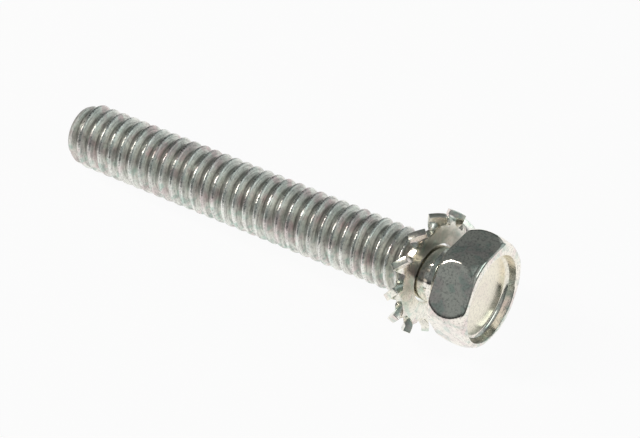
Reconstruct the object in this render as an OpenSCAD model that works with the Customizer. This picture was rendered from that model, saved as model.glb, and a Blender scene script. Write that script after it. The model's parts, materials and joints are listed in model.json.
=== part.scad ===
// Hex head machine screw with a captive external tooth lock washer.
// It lies on its side with the head at +X, tipped so that two washer teeth and the thread
// at the point touch the surface below. The origin is the middle of the face under the head.

/* [Thread] */
// Diameter over the thread's crests
thread_dia = 4.12; // [3.9:0.01:4.5]
// Threads in one inch of length
threads_per_inch = 32; // [28:1:36]
// Length from under the head to the end of the point
screw_len = 28; // [12:0.1:50]
// Depth of the thread from crest to root
thread_depth = 0.43; // [0.3:0.01:0.5]
// Width of the flat on each crest
crest_w = 0.17; // [0.06:0.01:0.2]
// Turns over which the thread fades out beside the neck
runout_turns = 0.75; // [0.25:0.25:1]

/* [Point] */
// Diameter of the flat end of the point
point_dia = 3.3; // [2.4:0.1:3.6]
// Length of the bevel on the point
point_len = 0.7; // [0.3:0.1:1.2]

/* [Neck] */
// Diameter of the plain neck that the washer turns on
neck_dia = 3.54; // [3.35:0.01:3.6]
// Length of the neck from under the head to the thread
neck_len = 2.5; // [2.4:0.1:4]
// Radius of the fillet between the neck and the head
neck_fillet = 0.25; // [0.1:0.05:0.3]
// Distance from the face under the head to the middle of the groove round the neck
groove_place = 0.8; // [0.6:0.05:1]
// Width of the groove
groove_w = 0.5; // [0.3:0.05:0.6]
// Depth of the groove
groove_depth = 0.1; // [0.05:0.01:0.15]

/* [Head] */
// Width of the hexagon across its flats
hex_flats = 6.35; // [5.8:0.01:8]
// Height of the head
head_h = 2.6; // [2:0.1:4]
// Turn of the hexagon about the screw's axis, from a corner facing down
hex_turn = 23; // [0:1:59]
// Width over the rounded corners where they are widest
corner_dia = 7.2; // [6.9:0.05:7.3]
// Height above the underside at which the corners are widest
corner_high = 1.15; // [0.9:0.05:1.3]
// Diameter of the circle where the rounded corners meet the end of the head
head_end_dia = 6.4; // [5.8:0.1:6.6]
// Width of the rim round the dish in the end of the head, where both have one middle
rim_w = 0.4; // [0.35:0.05:0.8]
// Depth of the dish
dish_depth = 0.7; // [0.5:0.05:1]
// Width of the dish's sloping wall, seen from the end
dish_wall_w = 0.1; // [0.05:0.05:0.3]
// Radius between the dish's floor and its wall
dish_round = 0.3; // [0.1:0.05:0.45]
// Distance of the dish's middle from the screw's axis
dish_shift = 0.2; // [0:0.05:0.25]
// Side to which the dish is shifted, round the screw's axis from straight down
dish_turn = 320; // [0:1:359]

/* [Washer] */
// Number of teeth
tooth_count = 12; // [8:1:13]
// Diameter over the teeth
washer_dia = 7.9; // [7.7:0.1:10]
// Diameter of the ring that the teeth stand on
ring_dia = 6.2; // [5.6:0.1:6.4]
// Thickness of the sheet that the washer is stamped from
washer_t = 0.45; // [0.3:0.01:0.5]
// Gap between the washer's hole and the neck, measured on the radius
washer_gap = 0.15; // [0.12:0.01:0.2]
// Width of a tooth
tooth_w = 1.1; // [0.8:0.05:1.2]
// Twist of a tooth about its own length
tooth_twist = 40; // [20:1:50]
// Length of a tooth over which it twists out of the ring
twist_len = 0.3; // [0.2:0.05:0.5]
// Distance from the face under the head to the middle of the washer
washer_place = 1.78; // [1.5:0.01:1.85]
// Lean of the loose washer out of square with the screw
washer_lean = 6.7; // [0:0.1:7]
// Side of the washer that leans to the point, round the screw's axis from straight down
lean_turn = 258; // [0:1:359]

/* [Hidden] */

thread_r = thread_dia / 2;
root_r = thread_r - thread_depth;
point_r = point_dia / 2;
neck_r = neck_dia / 2;
head_end_r = head_end_dia / 2;
corner_r = corner_dia / 2;
washer_r = washer_dia / 2;
ring_r = ring_dia / 2;
hole_r = neck_r + washer_gap;
// How far a cut runs past the face it opens, and how far pieces of one solid run into each other
cut = 0.1;
// Sides of a full circle, and of a small one in an outline
round_sides = 96;
fillet_sides = 32;

// Lowest corner of the two teeth that the screw lies on, and how far the point then drops
tooth_corner_at = 180 / tooth_count - atan(tooth_w / 2 * cos(tooth_twist) / washer_r);
tooth_reach = norm([washer_r, tooth_w / 2 * cos(tooth_twist)]) * cos(tooth_corner_at);
rest_tip = atan((tooth_reach - thread_r) / (screw_len - point_len - washer_place));

// The parts are drawn along +Z from under the head outwards, and laid down with +Z at +X
module lie_down() {
    rotate([0, 90 - rest_tip, 0]) children();
}

// The thread is a grid of columns round the screw, each with one crest in every pitch
thread_sides = 30;
inch = 25.4;
flank_angle = 30;
pitch = inch / threads_per_inch;
flank_w = thread_depth * tan(flank_angle);
// Length of the core that runs on inside the neck
thread_sink = 0.3;
// Places across one thread, and how high the profile stands there
profile_at = [0, flank_w, flank_w + crest_w, 2 * flank_w + crest_w];
profile_high = [0, 1, 1, 0];
threaded_len = screw_len - neck_len;
// Plain length left between the last thread and the neck
end_gap = 0.05;
turns = floor((threaded_len - profile_at[3] - end_gap) / pitch);
first_at = threaded_len - profile_at[3] - turns * pitch;
rows = 4 * turns + 2;

function on_circle(r, side, z) =
    [r * cos(360 * side / thread_sides), r * sin(360 * side / thread_sides), z];
// Radius of the point's bevel, by distance from the end of the point
function bevel_r(at) = point_r + at / point_len * (thread_r - point_r);
// Height of the crest from 0 to 1, by turns from the end of the point
function fade(turn) = min((turns - turn) / runout_turns, 1);
function thread_point(side, turn, k) =
    let (around = turn + side / thread_sides,
         at = first_at + around * pitch + profile_at[k],
         r = root_r + thread_depth * profile_high[k] * fade(around))
    on_circle(min(r, bevel_r(at)), side, at - screw_len);
function thread_column(side) = [
    on_circle(point_r, side, -screw_len),
    for (turn = [0 : turns - 1]) for (k = [0 : 3]) thread_point(side, turn, k),
    on_circle(root_r, side, thread_sink - neck_len)
];
function column_rows(side) = [for (row = [0 : rows - 1]) side * rows + row];
// Faces between two columns of as many rows, without those that a repeated row closes up
function strip(a, b) = [
    for (j = [0 : len(a) - 2])
        for (face = [[a[j], b[j + 1], b[j]], [a[j], a[j + 1], b[j + 1]]])
            if (face[0] != face[1] && face[1] != face[2]) face
];
// Past the last column the thread has risen one pitch, so its rows meet those one turn up
function first_row_held(side) = concat([for (k = [0 : 3]) side * rows], column_rows(side));
function last_row_held(side) =
    concat(column_rows(side), [for (k = [0 : 3]) (side + 1) * rows - 1]);

module thread() {
    last = thread_sides - 1;
    sides = [for (side = [0 : last - 1]) each strip(column_rows(side), column_rows(side + 1))];
    seam = strip(first_row_held(last), last_row_held(0));
    point_end = [for (side = [0 : last]) side * rows];
    neck_end = [for (side = [last : -1 : 0]) (side + 1) * rows - 1];
    polyhedron(
        points = [for (side = [0 : last]) each thread_column(side)],
        faces = concat([point_end, neck_end], sides, seam)
    );
}

module neck() {
    groove_arc_r = (pow(groove_w / 2, 2) + pow(groove_depth, 2)) / (2 * groove_depth);
    rotate_extrude($fn = round_sides) difference() {
        union() {
            translate([0, -neck_len]) square([neck_r, neck_len + cut]);
            difference() {
                translate([0, -neck_fillet]) square([neck_r + neck_fillet, neck_fillet + cut]);
                translate([neck_r + neck_fillet, -neck_fillet])
                    circle(r = neck_fillet, $fn = fillet_sides);
            }
        }
        translate([neck_r - groove_depth + groove_arc_r, -groove_place])
            circle(r = groove_arc_r, $fn = round_sides);
    }
}

// The forged corners bulge in one arc from under the head to its end, so the flats are ovals
module rounded_corners() {
    arc_side = corner_r - head_end_r;
    arc_rise = head_h - corner_high;
    arc_r = (pow(arc_side, 2) + pow(arc_rise, 2)) / (2 * arc_side);
    rotate_extrude($fn = round_sides) intersection() {
        square([corner_r, head_h]);
        translate([corner_r - arc_r, corner_high]) circle(r = arc_r, $fn = round_sides);
    }
}

// The punch that pressed the dish: a sloping wall, and a round edge at its floor
module dish() {
    dish_r = head_end_r - rim_w;
    floor_r = dish_r - dish_wall_w;
    wall_slope = atan(dish_wall_w / dish_depth);
    edge_len = dish_round / tan(45 + wall_slope / 2);
    rotate(dish_turn) translate([dish_shift, 0, head_h - dish_depth]) rotate_extrude($fn = round_sides) {
        polygon([
            [0, 0],
            [floor_r - edge_len, 0],
            [floor_r + edge_len * sin(wall_slope), edge_len * cos(wall_slope)],
            [dish_r + cut * tan(wall_slope), dish_depth + cut],
            [0, dish_depth + cut]
        ]);
        translate([floor_r - edge_len, dish_round]) circle(r = dish_round, $fn = fillet_sides);
    }
}

module head() {
    difference() {
        intersection() {
            rotate(hex_turn) cylinder(h = head_h, r = hex_flats / 2 / cos(30), $fn = 6);
            rounded_corners();
        }
        dish();
    }
}

// A tooth is square with the ring at its root, twists over twist_len and ends flat
module tooth() {
    twist_slices = 4;
    root_at = norm([ring_r, tooth_w / 2]) - cut;
    translate([root_at, 0, 0]) rotate([0, 90, 0]) {
        linear_extrude(height = twist_len, twist = tooth_twist, slices = twist_slices)
            square([washer_t, tooth_w], center = true);
        translate([0, 0, twist_len]) rotate(-tooth_twist)
            linear_extrude(height = washer_r - root_at - twist_len)
                square([washer_t, tooth_w], center = true);
    }
}

module washer() {
    difference() {
        union() {
            cylinder(h = washer_t, r = ring_r, center = true, $fn = round_sides);
            for (i = [0 : tooth_count - 1]) rotate((i + 0.5) * 360 / tooth_count) tooth();
        }
        cylinder(h = washer_t + 2 * cut, r = hole_r, center = true, $fn = round_sides);
    }
}

module screw() {
    color("silver") lie_down() {
        thread();
        neck();
        head();
    }
}

module tooth_lock_washer() {
    color("gainsboro") lie_down() translate([0, 0, -washer_place])
        rotate(lean_turn) rotate([0, washer_lean, 0]) rotate(-lean_turn) washer();
}

screw();
tooth_lock_washer();
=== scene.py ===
"""Hexagon head machine screw with a captive tooth lock washer, dressed round its packed model."""

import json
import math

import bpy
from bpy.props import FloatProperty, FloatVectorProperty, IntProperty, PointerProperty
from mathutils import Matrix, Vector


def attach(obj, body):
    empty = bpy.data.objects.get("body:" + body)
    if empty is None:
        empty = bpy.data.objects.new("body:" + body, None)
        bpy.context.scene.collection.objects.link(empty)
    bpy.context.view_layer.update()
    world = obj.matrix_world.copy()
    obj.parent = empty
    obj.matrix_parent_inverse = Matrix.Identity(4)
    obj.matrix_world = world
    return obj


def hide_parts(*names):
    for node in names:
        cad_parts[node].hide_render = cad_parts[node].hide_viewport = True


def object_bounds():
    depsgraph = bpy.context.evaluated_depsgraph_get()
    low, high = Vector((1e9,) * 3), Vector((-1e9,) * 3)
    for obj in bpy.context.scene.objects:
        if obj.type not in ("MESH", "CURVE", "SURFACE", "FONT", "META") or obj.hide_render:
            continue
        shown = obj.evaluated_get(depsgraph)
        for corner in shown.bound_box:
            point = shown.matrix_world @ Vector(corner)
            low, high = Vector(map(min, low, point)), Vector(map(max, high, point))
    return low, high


bl_info = {
    "name": "Hex Head Machine Screw",
    "version": (1, 0, 0),
    "blender": (4, 5, 0),
    "location": "View3D > Sidebar > Screw",
    "description": "Indented hexagon head machine screw with a captive tooth lock washer",
    "category": "Mesh",
}

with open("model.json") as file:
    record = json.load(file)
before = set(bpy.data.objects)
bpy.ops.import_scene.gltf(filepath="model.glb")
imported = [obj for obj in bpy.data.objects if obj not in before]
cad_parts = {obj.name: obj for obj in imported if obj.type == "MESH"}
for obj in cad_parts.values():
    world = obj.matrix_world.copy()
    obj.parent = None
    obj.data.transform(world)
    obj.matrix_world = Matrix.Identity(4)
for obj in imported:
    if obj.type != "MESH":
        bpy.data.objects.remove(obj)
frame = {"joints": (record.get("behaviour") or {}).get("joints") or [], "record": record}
cad_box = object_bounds()

MM = 0.001
# Points closer than this are one point
MERGE = 0.002 * MM
# How far two blended surfaces pass over into each other
SOFT = 0.14 * MM
# Edges that turn by less than this are shaded smooth
SMOOTH_BELOW = math.radians(40)

mounts = {mount["name"]: mount for mount in frame["record"]["mounts"]}
joint = frame["joints"][0]

# The screw is drawn along +Z from under its head outwards, and laid down into the frame
along = Vector(mounts["hex_drive"]["axis"]).normalized()
across = Vector((0, 1, 0))
down = across.cross(along)
lie_down = Matrix((down, across, along)).transposed().to_4x4()
under_head = Vector(mounts["thread"]["pos_m"])
upper_flat = lie_down.inverted() @ Vector(mounts["wrench_flat_upper"]["pos_m"])


class ThreadSizes(bpy.types.PropertyGroup):
    """Sizes of the rolled thread and of its point."""

    crest_dia: FloatProperty(
        name="Crest Diameter", description="Diameter over the thread's crests",
        default=4.12 * MM, unit="LENGTH", precision=5)
    pitch: FloatProperty(
        name="Pitch", description="Distance from one thread to the next",
        default=25.4 / 32 * MM, unit="LENGTH", precision=5)
    depth: FloatProperty(
        name="Depth", description="Depth of the thread from crest to root",
        default=0.43 * MM, unit="LENGTH", precision=5)
    crest_w: FloatProperty(
        name="Crest Width", description="Width of the flat on each crest",
        default=0.17 * MM, unit="LENGTH", precision=5)
    flank: FloatProperty(
        name="Flank Angle", description="Slope of the thread's flanks",
        default=math.radians(30), subtype="ANGLE")
    crest_round: FloatProperty(
        name="Crest Rounding", description="Radius at the edges of a crest",
        default=0.14 * MM, unit="LENGTH", precision=5)
    root_round: FloatProperty(
        name="Root Rounding", description="Radius at the edges of a root",
        default=0.06 * MM, unit="LENGTH", precision=5)
    length: FloatProperty(
        name="Length", description="Length from under the head to the end of the point",
        default=28 * MM, unit="LENGTH", precision=5)
    runout: FloatProperty(
        name="Run-out", description="Length over which the thread fades into the neck",
        default=0.6 * MM, unit="LENGTH", precision=5)
    point_dia: FloatProperty(
        name="Point Diameter", description="Diameter of the flat end of the point",
        default=3.3 * MM, unit="LENGTH", precision=5)
    point_len: FloatProperty(
        name="Point Length", description="Length of the bevel on the point",
        default=0.7 * MM, unit="LENGTH", precision=5)


class HeadSizes(bpy.types.PropertyGroup):
    """Sizes of the indented hexagon head and of the neck under it."""

    flats: FloatProperty(
        name="Across Flats", description="Width of the hexagon across its flats",
        default=2 * upper_flat.xy.length, unit="LENGTH", precision=5)
    turn: FloatProperty(
        name="Turn", description="Turn of a flat's middle about the screw's axis",
        default=math.atan2(upper_flat.y, upper_flat.x), subtype="ANGLE")
    height: FloatProperty(
        name="Height", description="Height of the head",
        default=(Vector(mounts["hex_drive"]["pos_m"]) - under_head).length,
        unit="LENGTH", precision=5)
    corner_dia: FloatProperty(
        name="Corner Diameter", description="Width over the rounded corners",
        default=7.2 * MM, unit="LENGTH", precision=5)
    corner_high: FloatProperty(
        name="Corner Height", description="Height at which the corners are widest",
        default=1.15 * MM, unit="LENGTH", precision=5)
    end_dia: FloatProperty(
        name="End Diameter", description="Diameter of the flat end of the head",
        default=6.4 * MM, unit="LENGTH", precision=5)
    end_round: FloatProperty(
        name="End Rounding", description="Radius between the corners and the head's end",
        default=0.3 * MM, unit="LENGTH", precision=5)
    flat_round: FloatProperty(
        name="Flat Rounding", description="Radius between the flats and the head's end",
        default=0.12 * MM, unit="LENGTH", precision=5)
    rim_w: FloatProperty(
        name="Rim Width", description="Width of the rim round the dish, where both have one middle",
        default=0.4 * MM, unit="LENGTH", precision=5)
    dish_depth: FloatProperty(
        name="Dish Depth", description="Depth of the dish in the end of the head",
        default=0.7 * MM, unit="LENGTH", precision=5)
    dish_wall_w: FloatProperty(
        name="Dish Wall", description="Width of the dish's wall, seen from the end",
        default=0.1 * MM, unit="LENGTH", precision=5)
    dish_round: FloatProperty(
        name="Dish Rounding", description="Radius between the dish's floor and its wall",
        default=0.3 * MM, unit="LENGTH", precision=5)
    dish_shift: FloatProperty(
        name="Dish Shift", description="Distance of the dish's middle from the screw's axis",
        default=0.2 * MM, unit="LENGTH", precision=5)
    dish_turn: FloatProperty(
        name="Dish Turn", description="Side to which the dish is shifted",
        default=math.radians(320), subtype="ANGLE")
    neck_dia: FloatProperty(
        name="Neck Diameter", description="Diameter of the plain neck",
        default=3.54 * MM, unit="LENGTH", precision=5)
    neck_len: FloatProperty(
        name="Neck Length", description="Length of the neck from head to thread",
        default=2.5 * MM, unit="LENGTH", precision=5)
    neck_fillet: FloatProperty(
        name="Neck Fillet", description="Radius between the neck and the head",
        default=0.25 * MM, unit="LENGTH", precision=5)
    groove_place: FloatProperty(
        name="Groove Place", description="Distance from the head to the neck's groove",
        default=0.8 * MM, unit="LENGTH", precision=5)
    groove_w: FloatProperty(
        name="Groove Width", description="Width of the neck's groove",
        default=0.5 * MM, unit="LENGTH", precision=5)
    groove_depth: FloatProperty(
        name="Groove Depth", description="Depth of the neck's groove",
        default=0.1 * MM, unit="LENGTH", precision=5)
    edge_round: FloatProperty(
        name="Edge Rounding", description="Radius at the forged edges",
        default=0.08 * MM, unit="LENGTH", precision=5)


class WasherSizes(bpy.types.PropertyGroup):
    """Sizes and lie of the captive tooth lock washer."""

    teeth: IntProperty(
        name="Teeth", description="Number of teeth", default=12)
    diameter: FloatProperty(
        name="Diameter", description="Diameter over the teeth",
        default=7.9 * MM, unit="LENGTH", precision=5)
    ring_dia: FloatProperty(
        name="Ring Diameter", description="Diameter of the ring that the teeth stand on",
        default=6.2 * MM, unit="LENGTH", precision=5)
    hole_dia: FloatProperty(
        name="Hole Diameter", description="Diameter of the hole round the neck",
        default=3.84 * MM, unit="LENGTH", precision=5)
    thickness: FloatProperty(
        name="Thickness", description="Thickness of the stamped sheet",
        default=0.45 * MM, unit="LENGTH", precision=5)
    tooth_w: FloatProperty(
        name="Tooth Width", description="Width of a tooth",
        default=1.1 * MM, unit="LENGTH", precision=5)
    twist: FloatProperty(
        name="Tooth Twist", description="Twist of a tooth about its own length",
        default=math.radians(40), subtype="ANGLE")
    twist_len: FloatProperty(
        name="Twist Length", description="Length of a tooth over which it twists",
        default=0.5 * MM, unit="LENGTH", precision=5)
    edge_round: FloatProperty(
        name="Edge Rounding", description="Rounding of the stamped edges",
        default=0.05 * MM, unit="LENGTH", precision=5)
    place: FloatProperty(
        name="Place", description="Distance from the head to the washer's middle",
        default=(Vector(joint["pos_m"]) - under_head).length, unit="LENGTH", precision=5)
    lean: FloatProperty(
        name="Lean", description="Lean of the loose washer out of square",
        default=math.radians(6.7), subtype="ANGLE")
    lean_turn: FloatProperty(
        name="Lean Turn", description="Side of the washer that leans to the point",
        default=math.radians(258), subtype="ANGLE")


class PlatingColours(bpy.types.PropertyGroup):
    """Colours of the bright zinc plating, and of the shade painted on it."""

    head: FloatVectorProperty(
        name="Head", description="Pale silver of the smooth head",
        default=(0.98, 0.93, 0.84), subtype="COLOR")
    dish: FloatVectorProperty(
        name="Dish", description="Creamy silver inside the dish",
        default=(0.95, 0.89, 0.75), subtype="COLOR")
    shank: FloatVectorProperty(
        name="Shank", description="Greenish silver of the rolled shank",
        default=(0.97, 0.97, 0.91), subtype="COLOR")
    washer: FloatVectorProperty(
        name="Washer", description="Yellowish silver of the washer",
        default=(0.98, 0.95, 0.85), subtype="COLOR")
    warm: FloatVectorProperty(
        name="Warm", description="Pink film on the plating",
        default=(0.78, 0.62, 0.62), subtype="COLOR")
    cool: FloatVectorProperty(
        name="Cool", description="Green film on the plating",
        default=(0.48, 0.68, 0.59), subtype="COLOR")
    stain: FloatVectorProperty(
        name="Stain", description="Dark mottles in the plating",
        default=(0.36, 0.35, 0.33), subtype="COLOR")
    # Painted shade: the grey that darkens the thread's roots and the washer round its hole, on their upper
    # side
    shade_colour: FloatVectorProperty(
        name="Painted Shade", description="Painted shade in the thread's roots and round the washer's hole",
        default=(0.17, 0.17, 0.15), subtype="COLOR")


class StageSizes(bpy.types.PropertyGroup):
    """Places of the camera, the floor and the lamp."""

    azimuth: FloatProperty(
        name="Azimuth", description="Side from which the camera looks",
        default=math.radians(33.82), subtype="ANGLE")
    elevation: FloatProperty(
        name="Elevation", description="Height of the camera above the horizon",
        default=math.radians(44.58), subtype="ANGLE")
    roll: FloatProperty(
        name="Roll", description="Turn of the camera about its line of sight",
        default=math.radians(-0.31), subtype="ANGLE")
    distance: FloatProperty(
        name="Distance", description="Distance from the camera to its aim",
        default=193.46 * MM, unit="LENGTH", precision=5)
    aim: FloatVectorProperty(
        name="Aim", description="Point that the camera looks at",
        default=(-9.806 * MM, 0, -0.049 * MM), subtype="TRANSLATION", precision=5)
    lens: FloatProperty(
        name="Lens", description="Focal length in millimetres on a 36 mm sensor",
        default=178.15)
    floor_w: FloatProperty(
        name="Floor Width", description="Width of the white floor",
        default=0.16, unit="LENGTH")
    lamp_w: FloatProperty(
        name="Lamp Width", description="Width of the long lamp over the point",
        default=0.06, unit="LENGTH")
    lamp_len: FloatProperty(
        name="Lamp Length", description="Length of the lamp, standing upright",
        default=0.25, unit="LENGTH")
    lamp_power: FloatProperty(
        name="Lamp Power", description="Power of the long lamp in watts",
        default=0.72)
    lamp_colour: FloatVectorProperty(
        name="Lamp Colour", description="Warm white of the long lamp",
        default=(1.0, 0.94, 0.88), subtype="COLOR")
    lamp_way: FloatVectorProperty(
        name="Lamp Direction", description="Direction from the screw to the long lamp",
        default=(-0.61, -0.32, 0.73), subtype="DIRECTION")
    lamp_away: FloatProperty(
        name="Lamp Distance", description="Distance from the screw's middle to the long lamp",
        default=0.45, unit="LENGTH")


def deselect():
    """Leaves nothing selected, so that the next operator acts on its own piece alone."""
    bpy.ops.object.select_all(action="DESELECT")


def edit(piece):
    """Opens a piece for editing, by itself."""
    deselect()
    piece.select_set(True)
    bpy.context.view_layer.objects.active = piece
    bpy.ops.object.mode_set(mode="EDIT")


def close():
    """Ends the editing of a piece."""
    bpy.ops.object.mode_set(mode="OBJECT")


def pick(piece, wanted):
    """Selects the vertices whose place passes a test, and what lies between them."""
    bpy.ops.mesh.select_mode(type="VERT")
    bpy.ops.mesh.select_all(action="DESELECT")
    close()
    for vertex in piece.data.vertices:
        vertex.select = wanted(vertex.co)
    bpy.ops.object.mode_set(mode="EDIT")


def apply_modifier(piece, kind, **settings):
    """Adds a modifier with its settings and applies it."""
    modifier = piece.modifiers.new(kind.title(), kind)
    for name, value in settings.items():
        setattr(modifier, name, value)
    deselect()
    piece.select_set(True)
    bpy.context.view_layer.objects.active = piece
    bpy.ops.object.modifier_apply(modifier=modifier.name)


def draw_line(name, spots):
    """Draws an open line by extruding one point from spot to spot."""
    deselect()
    bpy.ops.mesh.primitive_plane_add(size=MM)
    piece = bpy.context.object
    piece.name = name
    piece.data.name = name
    bpy.ops.object.mode_set(mode="EDIT")
    bpy.ops.mesh.select_mode(type="VERT")
    bpy.ops.mesh.select_all(action="SELECT")
    bpy.ops.mesh.merge(type="CENTER")
    bpy.ops.transform.translate(value=spots[0])
    for here, there in zip(spots, spots[1:]):
        bpy.ops.mesh.extrude_region_move(TRANSFORM_OT_translate={"value": there - here})
    close()
    return piece


def rounded(corners, steps=5):
    """Points (distance from the axis, height) through corners that also give a radius."""
    spots = [Vector(corner[:2]) for corner in corners]
    line = [spots[0]]
    for i in range(1, len(corners) - 1):
        radius = corners[i][2]
        if radius == 0:
            line.append(spots[i])
            continue
        back = (spots[i - 1] - spots[i]).normalized()
        on = (spots[i + 1] - spots[i]).normalized()
        half = back.angle(on) / 2
        centre = spots[i] + (back + on).normalized() * radius / math.sin(half)
        first = back * radius / math.tan(half) + spots[i] - centre
        sweep = first.angle_signed(on * radius / math.tan(half) + spots[i] - centre)
        for k in range(steps + 1):
            line.append(centre + Matrix.Rotation(-sweep * k / steps, 2) @ first)
    line.append(spots[-1])
    return line


def turn_round(name, line, steps, pitch=0, turns=1):
    """Sweeps an outline round the axis, rising by a pitch with each turn."""
    piece = draw_line(name, [Vector((spot[0], 0, spot[1])) for spot in line])
    apply_modifier(
        piece, "SCREW", axis="Z", angle=math.tau, steps=steps, render_steps=steps,
        screw_offset=pitch, iterations=turns, use_merge_vertices=False)
    edit(piece)
    bpy.ops.mesh.select_all(action="SELECT")
    bpy.ops.mesh.remove_doubles(threshold=MERGE)
    close()
    return piece


def soft_min(a, b, blend=SOFT):
    """The smaller of two lengths, passing smoothly from one to the other where they are close."""
    near = max(blend - abs(a - b), 0) / blend
    return min(a, b) - near * near * blend / 4


def smooth_step(share):
    """Goes from 0 to 1 with a soft start and end."""
    share = min(max(share, 0), 1)
    return share * share * (3 - 2 * share)


def press(piece, new_radius):
    """Moves each vertex in or out from the axis, as a die does.

    new_radius(radius, turn, height) gives its new distance from the axis.
    """
    for vertex in piece.data.vertices:
        radius = vertex.co.xy.length
        if radius > MERGE:
            turn = math.atan2(vertex.co.y, vertex.co.x)
            share = new_radius(radius, turn, vertex.co.z) / radius
            vertex.co.x *= share
            vertex.co.y *= share


def roll_thread(sizes, head):
    """Makes the threaded shank, from its flat point up to the end of the neck."""
    crest_r = sizes.crest_dia / 2
    root_r = crest_r - sizes.depth
    neck_r = head.neck_dia / 2
    point_r = sizes.point_dia / 2
    sides = 96
    flank_w = sizes.depth * math.tan(sizes.flank)
    root_half = (sizes.pitch - sizes.crest_w) / 2 - flank_w
    # The thread is swept past both of its ends, and is cut off there below
    turns = math.ceil((sizes.length - head.neck_len) / sizes.pitch) + 1
    start = -head.neck_len - flank_w - sizes.crest_w / 2 - (turns + 0.5) * sizes.pitch
    outline = rounded([
        (root_r, start, 0),
        (root_r, start + root_half, sizes.root_round),
        (crest_r, start + root_half + flank_w, sizes.crest_round),
        (crest_r, start + root_half + flank_w + sizes.crest_w, sizes.crest_round),
        (root_r, start + sizes.pitch - root_half, sizes.root_round),
        (root_r, start + sizes.pitch, 0),
    ], steps=3)
    shank = turn_round("shank", outline, sides, sizes.pitch, turns + 2)

    def rolled(radius, turn, height):
        above_end = height + sizes.length
        bevel_r = point_r + above_end / sizes.point_len * (crest_r - point_r)
        # What lies past the end is cut off later, so there the radius only has to stay above 0
        radius = soft_min(radius, max(bevel_r, point_r / 2))
        faded = smooth_step((height + head.neck_len + sizes.runout) / sizes.runout)
        return radius + (neck_r - radius) * faded

    press(shank, rolled)
    edit(shank)
    bpy.ops.mesh.select_all(action="SELECT")
    bpy.ops.mesh.bisect(
        plane_co=(0, 0, -head.neck_len), plane_no=(0, 0, 1), clear_outer=True, threshold=MERGE)
    bpy.ops.mesh.select_all(action="SELECT")
    bpy.ops.mesh.bisect(
        plane_co=(0, 0, -sizes.length), plane_no=(0, 0, 1), clear_inner=True, use_fill=True,
        threshold=MERGE)
    close()
    return shank


def forge_head(sizes):
    """Makes the neck and the dished hexagon head, open at the end of the neck."""
    neck_r = sizes.neck_dia / 2
    end_r = sizes.end_dia / 2
    corner_r = sizes.corner_dia / 2
    edge = sizes.edge_round
    flat_edge = sizes.flat_round
    sides = 480
    arc_rise = sizes.height - sizes.corner_high
    arc_side = corner_r - end_r
    arc_r = (arc_side ** 2 + arc_rise ** 2) / (2 * arc_side)
    # The rounding ends on the end's circle, so the arc passes outside it
    end_slope = math.asin(arc_rise / arc_r)
    spread = sizes.end_round * math.tan(math.radians(45) - end_slope / 2)
    arc_steps = 40

    def corner_at(height):
        return corner_r - arc_r + math.sqrt(arc_r ** 2 - (height - sizes.corner_high) ** 2)

    arc_len = sizes.height - edge - sizes.end_round
    heights = [edge + arc_len * k / arc_steps for k in range(arc_steps + 1)]
    dish_r = end_r - sizes.rim_w
    floor_at = sizes.height - sizes.dish_depth
    groove_low = -sizes.groove_place - sizes.groove_w / 2
    groove_high = -sizes.groove_place + sizes.groove_w / 2
    outline = rounded([
        (neck_r, -sizes.neck_len + edge, 0),
        (neck_r, groove_low, edge),
        (neck_r - sizes.groove_depth, -sizes.groove_place, edge),
        (neck_r, groove_high, edge),
        (neck_r, 0, sizes.neck_fillet),
        (corner_at(0), 0, edge),
        *[(corner_at(height), height, 0) for height in heights],
        (end_r + spread, sizes.height, sizes.end_round),
        (dish_r, sizes.height, edge),
        (dish_r - sizes.dish_wall_w, floor_at, sizes.dish_round),
        (0, floor_at, 0),
    ])
    head = turn_round("head", outline, sides)

    def pressed(radius, turn, height):
        if height < -MERGE:
            return radius
        sixth = math.pi / 3
        off_flat = (turn - sizes.turn + sixth / 2) % sixth - sixth / 2
        # The flats round over into the underside and into the end
        low_in = max(edge - height, 0)
        high_in = max(height - sizes.height + flat_edge, 0)
        eased = edge - math.sqrt(edge ** 2 - low_in ** 2)
        eased += flat_edge - math.sqrt(max(flat_edge ** 2 - high_in ** 2, 0))
        return soft_min(radius, sizes.flats / 2 / math.cos(off_flat) - eased)

    # The dish moves off the middle as a whole, and the rim less and less towards its outer edge
    shift = Vector((math.cos(sizes.dish_turn), math.sin(sizes.dish_turn), 0)) * sizes.dish_shift
    blend_w = sizes.rim_w - edge
    for vertex in head.data.vertices:
        if vertex.co.z > floor_at - MERGE:
            share = (end_r - vertex.co.xy.length) / blend_w
            vertex.co += shift * min(max(share, 0), 1)
    press(head, pressed)
    return head


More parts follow.
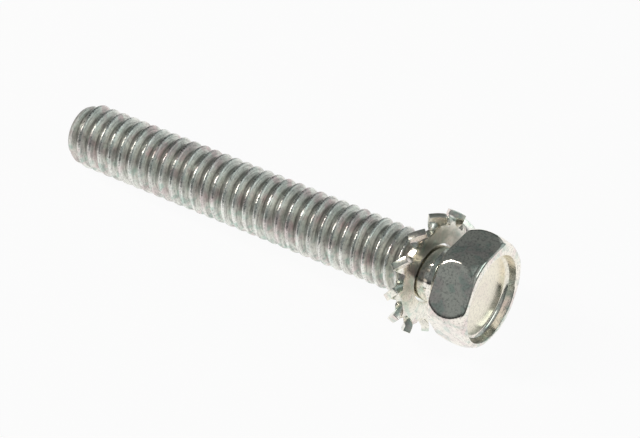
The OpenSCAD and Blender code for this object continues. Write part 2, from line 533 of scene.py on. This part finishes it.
def stamp_washer(sizes):
    """Makes the washer flat round the axis: a ring, and teeth that twist out of its plane."""
    half_step = math.pi / sizes.teeth
    ring_r = sizes.ring_dia / 2
    hole_r = sizes.hole_dia / 2
    half_tooth = math.asin(sizes.tooth_w / 2 / ring_r)
    ring_rows = 5
    gap_steps = 2
    tooth_steps = 6
    side = Vector((math.cos(half_step), math.sin(half_step), 0))
    spots = [side * (hole_r + (ring_r - hole_r) * k / ring_rows) for k in range(ring_rows + 1)]
    stamped_edges = math.radians(50)
    washer = draw_line("lock_washer", spots)
    # Run with no window, spin and rotate both turn clockwise, seen against their axis
    edit(washer)
    bpy.ops.mesh.select_all(action="SELECT")
    half_gap = half_step - half_tooth
    for angle, steps in ((half_gap, gap_steps), (2 * half_tooth, tooth_steps), (half_gap, gap_steps)):
        bpy.ops.mesh.spin(steps=steps, angle=angle, center=(0, 0, 0), axis=(0, 0, 1))

    def at_tooth_root(spot):
        return abs(spot.length - ring_r) < MERGE and abs(spot.y) < sizes.tooth_w / 2 + MERGE

    pick(washer, at_tooth_root)
    tooth_rows = 10
    tooth_len = sizes.diameter / 2 - ring_r
    last_twist = 0
    for row in range(1, tooth_rows + 1):
        out = tooth_len * row / tooth_rows
        twist = sizes.twist * smooth_step(out / sizes.twist_len)
        bpy.ops.mesh.extrude_region_move(
            TRANSFORM_OT_translate={"value": (tooth_len / tooth_rows, 0, 0)})
        bpy.ops.transform.rotate(
            value=twist - last_twist, orient_axis="X", orient_type="GLOBAL",
            center_override=(0, 0, 0))
        last_twist = twist
    bpy.ops.mesh.select_all(action="SELECT")
    bpy.ops.transform.rotate(
        value=half_step, orient_axis="Z", orient_type="GLOBAL", center_override=(0, 0, 0))
    bpy.ops.mesh.spin(
        steps=sizes.teeth - 1, dupli=True, angle=2 * half_step * (sizes.teeth - 1),
        center=(0, 0, 0), axis=(0, 0, 1))
    bpy.ops.mesh.select_all(action="SELECT")
    bpy.ops.mesh.remove_doubles(threshold=MERGE)
    bpy.ops.mesh.normals_make_consistent(inside=False)
    close()
    apply_modifier(washer, "SOLIDIFY", thickness=sizes.thickness, offset=0, use_even_offset=True)
    apply_modifier(
        washer, "BEVEL", width=sizes.edge_round, segments=3, limit_method="ANGLE",
        angle_limit=stamped_edges)
    return washer


def settle(piece, place, body, node, material):
    """Lays a finished piece down in the frame and hangs it on its body in place of its node."""
    piece.matrix_world = place
    deselect()
    piece.select_set(True)
    bpy.context.view_layer.objects.active = piece
    bpy.ops.object.transform_apply(location=True, rotation=True, scale=True)
    bpy.ops.object.shade_smooth_by_angle(angle=SMOOTH_BELOW)
    piece.data.materials.clear()
    piece.data.materials.append(material)
    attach(piece, body)
    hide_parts(node)


class Wire:
    """One output of a shader node, which takes part in sums as a number does."""

    def __init__(self, tree, socket=None):
        self.tree = tree
        self.socket = socket

    def node(self, kind, settings=None, inputs=None, output=0):
        """Adds a node, sets it up, feeds its sockets and returns one of its outputs."""
        made = self.tree.nodes.new(kind)
        for name, value in (settings or {}).items():
            setattr(made, name, value)
        for name, value in (inputs or {}).items():
            if isinstance(value, Wire):
                self.tree.links.new(value.socket, made.inputs[name])
            else:
                made.inputs[name].default_value = value
        return Wire(self.tree, made.outputs[output] if made.outputs else None)

    def maths(self, operation, *others):
        """The result of a Math node that takes this wire and then the others."""
        values = dict(enumerate((self, *others)))
        return self.node("ShaderNodeMath", {"operation": operation}, values)

    def __add__(self, other):
        return self.maths("ADD", other)

    def __radd__(self, other):
        return self.maths("ADD", other)

    def __sub__(self, other):
        return self.maths("SUBTRACT", other)

    def __rsub__(self, other):
        return self.maths("MULTIPLY_ADD", -1, other)

    def __mul__(self, other):
        return self.maths("MULTIPLY", other)

    def __rmul__(self, other):
        return self.maths("MULTIPLY", other)

    def clamped(self, first, second):
        """Goes smoothly from 0 at the first value to 1 at the second, and stays level outside them."""
        return self.node(
            "ShaderNodeMapRange", {"interpolation_type": "SMOOTHSTEP"},
            {"Value": self, "From Min": first, "From Max": second})

    def mix_colour(self, first, second):
        """Goes from one colour to another as this wire goes from 0 to 1."""
        return self.node(
            "ShaderNodeMix", {"data_type": "RGBA"},
            {"Factor": self, "A": first, "B": second}, output="Result")

    def noise(self, scale, detail, rough=0.5):
        """Noise over the places that this wire gives."""
        return self.node(
            "ShaderNodeTexNoise", inputs={
                "Vector": self, "Scale": scale, "Detail": detail, "Roughness": rough})


def colour(value):
    """A colour with its alpha, as a colour socket takes it."""
    return (*value, 1)


def zinc_plating(name, silver, base_rough, mottled, colours, rolled_silver=None):
    """Bright zinc plating with pink and green films, dark mottles, and painted shade on its upper side.

    It is laid out in millimetres along the screw. With rolled_silver it also has a creamy dish, and a
    shank that is rougher than the head but for its rubbed crests, with streaks round it, a painted warm
    tint of the light on its upper side and a painted green tint on its lower side.
    """
    material = bpy.data.materials.new(name)
    material.use_nodes = True
    tree = material.node_tree
    tree.nodes.clear()
    start = Wire(tree)
    place = start.node("ShaderNodeTexCoord", output="Object")
    tilt = math.atan2(along.z, along.x)
    spot = start.node(
        "ShaderNodeMapping", inputs={
            "Vector": place, "Rotation": (0, tilt, 0), "Scale": (1 / MM, 1 / MM, 1 / MM)})
    x, y, z = (start.node("ShaderNodeSeparateXYZ", inputs={0: spot}, output=axis) for axis in "XYZ")
    radius = (y * y + z * z).maths("SQRT")

    # Places along the screw and distances from its axis between which one look gives way to the next
    neck_end = (-2.9, -2.4)
    dish_floor = (1.6, 1.8)
    dish_side = (2.4, 2.9)
    root = (1.63, 1.75)
    top = (1.93, 2.03)
    washer_hole = (2.5, 3.5)

    # How strongly each film and the painted shade tint the silver where they lie thickest
    film_tint = 0.55
    patch_tint = 0.5
    shade_tint = 0.65

    # Noise stays near 0.5, so a film lies only where it rises past the first value
    film = spot.noise(0.8, 2).clamped(0.48, 0.66)
    patches = spot.noise(1.7, 2).clamped(0.48, 0.68)
    specks = spot.noise(7, 2, 0.7)
    grain = spot.noise(6, 2)
    stained = mottled * specks.clamped(0.56, 0.24)
    tint = colour(silver)
    # Upwards leans a little away from the camera here
    rise = y * 0.3 + z
    # Painted shade round the washer's hole, on its upper side under the head
    painted_shade = rise.clamped(-1.4, 0.4) * (1 - radius.clamped(*washer_hole)) * (1 - 0.6 * film)
    worn = 0
    crest = 0
    dished = 0
    if rolled_silver:
        # The streaks run far round the shank and are narrow along it
        turn = y.maths("ARCTAN2", z)
        wrap = start.node(
            "ShaderNodeCombineXYZ", inputs={"X": x * 9, "Y": turn * 1.2, "Z": radius * 9})
        streaks = wrap.noise(1, 3, 0.6)
        worn = 1 - x.clamped(*neck_end)
        crest = worn * radius.clamped(*top)
        dished = x.clamped(*dish_floor) * (1 - radius.clamped(*dish_side))
        # The upper side of the shank, where the shade and the warm tint are painted
        upper = worn * rise.clamped(-0.6, 0.6)
        # Painted shade in the thread's roots, on the upper side only
        painted_shade = upper * (1 - radius.clamped(*root)) * (1 - 0.6 * patches)
        grain = grain + worn * streaks
        stained = (1 - 0.5 * dished - 0.5 * worn) * stained + 0.5 * worn * streaks.clamped(0.6, 0.36)
        # Painted light: on the shank the pink film is stronger on the upper side as a painted warm tint,
        # and thinner under the painted shade; the green film is stronger on the lower side as a painted
        # green tint
        film = film * (1 - 0.7 * dished) * (1 + 0.4 * upper - painted_shade)
        patches = patches * (1 - dished) * (1 + 0.4 * worn - upper)
        tint = worn.mix_colour(tint, colour(rolled_silver))
        tint = dished.mix_colour(tint, colour(colours.dish))
    tint = (film_tint * film).mix_colour(tint, colour(colours.warm))
    tint = (patch_tint * patches).mix_colour(tint, colour(colours.cool))
    tint = stained.mix_colour(tint, colour(colours.stain))
    # Painted shade darkens the silver in the upper roots and round the washer's hole
    tint = (shade_tint * painted_shade).mix_colour(tint, colour(colours.shade_colour))
    roughness = base_rough + 0.1 * (specks - 0.5) + 0.42 * worn - 0.26 * crest + 0.1 * painted_shade + 0.12 * dished
    bump = start.node(
        "ShaderNodeBump", inputs={
            "Strength": 0.09 + 0.66 * worn, "Distance": 0.03 * MM, "Height": grain},
        output="Normal")
    surface = start.node(
        "ShaderNodeBsdfPrincipled", inputs={
            "Base Color": tint, "Metallic": 1.0, "Roughness": roughness, "Normal": bump})
    start.node("ShaderNodeOutputMaterial", inputs={"Surface": surface})
    return material


class SCREW_OT_add_screw(bpy.types.Operator):
    """Add the screw: head, neck, thread and point in one piece"""

    bl_idname = "hexscrew.add_screw"
    bl_label = "Add Screw"

    def execute(self, context):
        scene = context.scene
        shank = roll_thread(scene.thread_sizes, scene.head_sizes)
        screw = forge_head(scene.head_sizes)
        screw.name = "machine_screw"
        screw.data.name = screw.name
        deselect()
        shank.select_set(True)
        screw.select_set(True)
        context.view_layer.objects.active = screw
        bpy.ops.object.join()
        edit(screw)
        bpy.ops.mesh.select_mode(type="EDGE")
        bpy.ops.mesh.select_all(action="DESELECT")
        bpy.ops.mesh.select_non_manifold(
            use_wire=False, use_boundary=True, use_multi_face=False, use_non_contiguous=False,
            use_verts=False)
        bpy.ops.mesh.bridge_edge_loops()
        bpy.ops.mesh.select_all(action="SELECT")
        bpy.ops.mesh.normals_make_consistent(inside=False)
        close()
        colours = scene.plating_colours
        plating = zinc_plating(
            "rolled_zinc", colours.head, base_rough=0.12, mottled=0.8, colours=colours,
            rolled_silver=colours.shank)
        place = Matrix.Translation(under_head) @ lie_down
        settle(screw, place, "screw", "screw", plating)
        return {"FINISHED"}


class SCREW_OT_add_washer(bpy.types.Operator):
    """Add the tooth lock washer, leaning on the neck"""

    bl_idname = "hexscrew.add_washer"
    bl_label = "Add Washer"

    def execute(self, context):
        sizes = context.scene.washer_sizes
        washer = stamp_washer(sizes)
        lean = (
            Matrix.Rotation(sizes.lean_turn, 4, "Z")
            @ Matrix.Rotation(sizes.lean, 4, "Y")
            @ Matrix.Rotation(-sizes.lean_turn, 4, "Z"))
        place = Matrix.Translation(joint["pos_m"]) @ lie_down @ lean
        colours = context.scene.plating_colours
        plating = zinc_plating(
            "stamped_zinc", colours.washer, base_rough=0.25, mottled=0.5, colours=colours)
        settle(washer, place, "washer", "tooth_lock_washer", plating)
        return {"FINISHED"}


class SCREW_OT_add_stage(bpy.types.Operator):
    """Add the white floor, the long lamp, the dim room and the camera"""

    bl_idname = "hexscrew.add_stage"
    bl_label = "Add Stage"

    def execute(self, context):
        sizes = context.scene.stage_sizes
        add_floor(sizes)
        add_room(context.scene)
        add_lamp(sizes)
        add_camera(context.scene, sizes)
        context.scene.view_settings.view_transform = "Standard"
        return {"FINISHED"}


def add_floor(sizes):
    """Adds the floor, which shows nearly white to the camera and in the metal and takes a faint shadow."""
    deselect()
    bpy.ops.mesh.primitive_plane_add(size=sizes.floor_w, location=(0, 0, cad_box[0].z))
    floor = bpy.context.object
    floor.name = "floor"
    material = bpy.data.materials.new("white_paper")
    material.use_nodes = True
    tree = material.node_tree
    tree.nodes.clear()
    start = Wire(tree)
    camera_ray = start.node("ShaderNodeLightPath", output="Is Camera Ray")
    glossy_ray = start.node("ShaderNodeLightPath", output="Is Glossy Ray")
    clear_ray = start.node("ShaderNodeLightPath", output="Is Transmission Ray")
    seen = camera_ray.maths("MAXIMUM", glossy_ray).maths("MAXIMUM", clear_ray)
    # Share of the floor's white that doesn't depend on the light
    glow_share = 0.94
    paper = start.node("ShaderNodeBsdfDiffuse", inputs={"Color": (0.9, 0.9, 0.9, 1)})
    glow = start.node("ShaderNodeEmission", inputs={"Color": (1, 1, 1, 1), "Strength": 1.0})
    shown = start.node("ShaderNodeMixShader", inputs={0: glow_share * seen, 1: paper, 2: glow})
    start.node("ShaderNodeOutputMaterial", inputs={"Surface": shown})
    floor.data.materials.append(material)


def add_room(scene):
    """Makes the room round the floor, white to the camera and dim in the metal."""
    world = bpy.data.worlds.new("dim_room")
    scene.world = world
    world.use_nodes = True
    tree = world.node_tree
    tree.nodes.clear()
    start = Wire(tree)
    direction = start.node("ShaderNodeTexCoord", output="Generated")

    def towards(way):
        return start.node(
            "ShaderNodeVectorMath", {"operation": "DOT_PRODUCT"},
            {0: direction, 1: Vector(way).normalized()}, output="Value")

    # Past the head are a strip window and its halo, beyond the shank is a bright wall, behind the camera
    # is a pale one, and above the dark horizon the room is dim
    window_way = Vector((0.76, 0.25, 0.60))
    beside = towards(window_way.cross((window_way.y, -window_way.x, 0))).maths("ABSOLUTE")
    strip = towards(window_way).clamped(0.93, 0.955) * (1 - beside.clamped(0.12, 0.16))
    halo = towards((0.75, -0.05, 0.66)).clamped(0.66, 0.92)
    far_wall = towards((0.35, 0.93, 0.08)).clamped(0.75, 0.95)
    pale_wall = towards((-0.42, -0.80, 0.42)).clamped(0.65, 0.95)
    above = towards((0, 0, 1)).clamped(0.02, 0.28)
    # The number before each is how bright it is, where white paper is 1
    level = 0.03 + above * (0.115 + 0.11 * pale_wall) + 0.2 * halo + 0.4 * far_wall + 1.4 * strip
    camera_ray = start.node("ShaderNodeLightPath", output="Is Camera Ray")
    dim = start.node(
        "ShaderNodeBackground", inputs={"Color": (0.90, 1.0, 1.0, 1), "Strength": level})
    white = start.node("ShaderNodeBackground", inputs={"Color": (1, 1, 1, 1), "Strength": 1.0})
    shown = start.node("ShaderNodeMixShader", inputs={0: camera_ray, 1: dim, 2: white})
    start.node("ShaderNodeOutputWorld", inputs={"Surface": shown})


def add_lamp(sizes):
    """Hangs a long lamp beyond the point, which turns its face to the screw."""
    way = Vector(sizes.lamp_way).normalized()
    middle = sum(cad_box, Vector()) / 2
    bpy.ops.object.light_add(type="AREA", location=middle + way * sizes.lamp_away)
    lamp = bpy.context.object
    lamp.name = "long_lamp"
    lamp.data.shape = "RECTANGLE"
    lamp.data.size = sizes.lamp_w
    lamp.data.size_y = sizes.lamp_len
    lamp.data.energy = sizes.lamp_power
    lamp.data.color = sizes.lamp_colour
    lamp.rotation_euler = way.to_track_quat("Z", "Y").to_euler()


def add_camera(scene, sizes):
    """Puts the camera where the photograph was taken from."""
    back = Vector((
        math.sin(sizes.azimuth) * math.cos(sizes.elevation),
        -math.cos(sizes.azimuth) * math.cos(sizes.elevation),
        math.sin(sizes.elevation)))
    bpy.ops.object.camera_add()
    camera = bpy.context.object
    camera.name = "camera"
    turned = back.to_track_quat("Z", "Y").to_matrix().to_4x4()
    camera.matrix_world = (
        Matrix.Translation(Vector(sizes.aim) + back * sizes.distance)
        @ turned @ Matrix.Rotation(sizes.roll, 4, "Z"))
    camera.data.sensor_width = 36
    camera.data.lens = sizes.lens
    camera.data.clip_start = 0.01
    scene.camera = camera


class SCREW_PT_panel(bpy.types.Panel):
    """Lists the sizes, the colours and the steps that make the screw"""

    bl_label = "Hex Head Machine Screw"
    bl_idname = "SCREW_PT_panel"
    bl_space_type = "VIEW_3D"
    bl_region_type = "UI"
    bl_category = "Screw"

    def draw(self, context):
        for step in STEPS:
            self.layout.operator(step)
        for name, kind in GROUPS.items():
            box = self.layout.box()
            box.label(text=kind.__doc__)
            group = getattr(context.scene, name)
            for size in kind.__annotations__:
                box.prop(group, size)


STEPS = ("hexscrew.add_screw", "hexscrew.add_washer", "hexscrew.add_stage")
GROUPS = {
    "thread_sizes": ThreadSizes,
    "head_sizes": HeadSizes,
    "washer_sizes": WasherSizes,
    "plating_colours": PlatingColours,
    "stage_sizes": StageSizes,
}
CLASSES = (
    *GROUPS.values(), SCREW_OT_add_screw, SCREW_OT_add_washer, SCREW_OT_add_stage, SCREW_PT_panel)


def register():
    """Registers the classes and hangs the sizes and colours on the scene."""
    for kind in CLASSES:
        bpy.utils.register_class(kind)
    for name, kind in GROUPS.items():
        setattr(bpy.types.Scene, name, PointerProperty(type=kind))


def unregister():
    """Takes the sizes and classes away again."""
    for name in GROUPS:
        delattr(bpy.types.Scene, name)
    for kind in reversed(CLASSES):
        bpy.utils.unregister_class(kind)


def main():
    """Makes every piece and the stage."""
    register()
    bpy.ops.hexscrew.add_screw()
    bpy.ops.hexscrew.add_washer()
    bpy.ops.hexscrew.add_stage()


if __name__ == "__main__":
    main()
